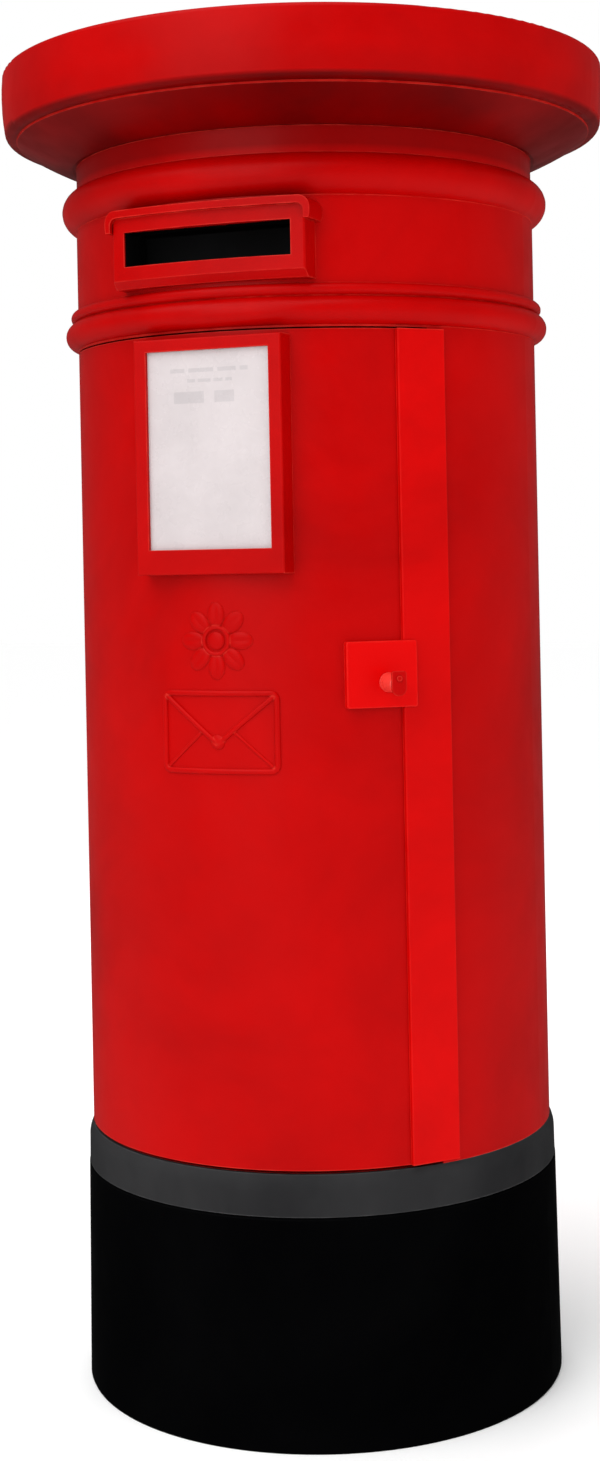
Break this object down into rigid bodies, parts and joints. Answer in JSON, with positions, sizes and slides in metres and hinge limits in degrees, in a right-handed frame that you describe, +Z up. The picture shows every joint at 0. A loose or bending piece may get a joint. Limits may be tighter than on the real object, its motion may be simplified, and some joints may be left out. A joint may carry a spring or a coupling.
{
  "type": "pillar mailbox",
  "caption": "Round free-standing street mailbox with an overhanging domed roof, a flapped letter slot, a locking hinged door and a black base.",
  "frame": {"origin": "centre of the base on the ground", "axes": "+Z up, -Y towards the letter slot and the door's middle, +X towards the lock side"},
  "size_m": [0.7351, 0.7352, 1.6],
  "materials": {
    "red_enamel": "gloss paint",
    "grey_enamel": "satin paint",
    "black_enamel": "gloss paint",
    "plain_steel": "dull zinc plate",
    "galvanised_sheet": "galvanised",
    "black_iron": "japanned",
    "brass": "dull",
    "notice_enamel": "vitreous enamel"
  },
  "bodies": {
    "pillar": {"body_casing": "red_enamel", "roof_cap": "red_enamel", "roof_bolts": "plain_steel", "roof_nuts": "plain_steel", "base_collar": "grey_enamel", "plinth_base": "black_enamel", "base_bolts": "plain_steel", "base_nuts": "plain_steel", "door_stop_frame": "black_iron", "floor_plate": "galvanised_sheet", "aperture_surround": "red_enamel", "flap_frame": "black_iron", "surround_screws": "plain_steel", "flap_rod": "plain_steel", "letter_chute": "galvanised_sheet", "chute_screws": "plain_steel", "lower_hinge_pin": "plain_steel", "upper_hinge_pin": "plain_steel", "thrust_washer": "brass", "bolt_keeper": "black_iron", "keeper_screws": "plain_steel", "guard_hooks": "galvanised_sheet"},
    "door": {"door_leaf": "red_enamel", "closing_strip": "red_enamel", "strip_rivets": "red_enamel", "notice_frame": "red_enamel", "notice_frame_screws": "plain_steel", "notice_plate": "notice_enamel", "notice_backing_pan": "galvanised_sheet", "button_screws": "plain_steel", "door_emblem": "red_enamel", "lock_plate": "red_enamel", "keyhole_boss": "red_enamel", "cover_rivet": "red_enamel", "lock_case": "black_iron", "lock_cover": "brass", "lock_screws": "plain_steel", "lever_pin": "plain_steel"},
    "slot_flap": {"slot_flap": "black_iron"},
    "keyhole_cover": {"keyhole_cover": "red_enamel"},
    "lock_cam": {"lock_cam": "brass"},
    "lock_bolt": {"lock_bolt": "brass"},
    "lock_levers": {"lock_levers": "brass"},
    "upper_turn_button": {"notice_button_upper": "brass"},
    "lower_turn_button": {"notice_button_lower": "brass"},
    "mail_guard": {"mail_guard": "galvanised_sheet"}
  },
  "joints": [
    {"name": "door_hinge", "type": "hinge", "parent": "pillar", "child": "door", "pos_m": [-0.22476, -0.14596, 0.7735], "axis": [0, 0, -1], "range_deg": [0, 100]},
    {"name": "slot_flap_hinge", "type": "hinge", "parent": "pillar", "child": "slot_flap", "pos_m": [0, -0.226, 1.3735], "axis": [1, 0, 0], "range_deg": [0, 75]},
    {"name": "keyhole_cover_pivot", "type": "hinge", "parent": "door", "child": "keyhole_cover", "pos_m": [0.20477, -0.24991, 0.854], "axis": [-0.6157, 0.788, 0], "range_deg": [-100, 100]},
    {"name": "lock_cam_turn", "type": "hinge", "parent": "door", "child": "lock_cam", "pos_m": [0.16106, -0.19396, 0.848], "axis": [-0.6157, 0.788, 0], "range_deg": [0, 110.01]},
    {"name": "lock_bolt_slide", "type": "slide", "parent": "door", "child": "lock_bolt", "axis": [0.788, 0.6157, 0], "range_m": [0, 0.01802]},
    {"name": "lever_lift", "type": "hinge", "parent": "door", "child": "lock_levers", "pos_m": [0.1235, -0.2068, 0.841], "axis": [0.6157, -0.788, 0], "range_deg": [0, 4]},
    {"name": "upper_button_turn", "type": "hinge", "parent": "door", "child": "upper_turn_button", "pos_m": [0, -0.2622, 1.2335], "axis": [0, 1, 0], "range_deg": [0, 90]},
    {"name": "lower_button_turn", "type": "hinge", "parent": "door", "child": "lower_turn_button", "pos_m": [0, -0.2622, 0.9855], "axis": [0, 1, 0], "range_deg": [0, 90]},
    {"name": "guard_lift", "type": "slide", "parent": "pillar", "child": "mail_guard", "axis": [0, 0, 1], "range_m": [0, 0.06]}
  ],
  "couplings": [
    {"joint": "lock_cam_turn", "follows": "lock_bolt_slide", "rad_per_m": 106.53},
    {"joint": "lever_lift", "follows": "lock_bolt_slide", "rad_per_m": 3.87}
  ]
}
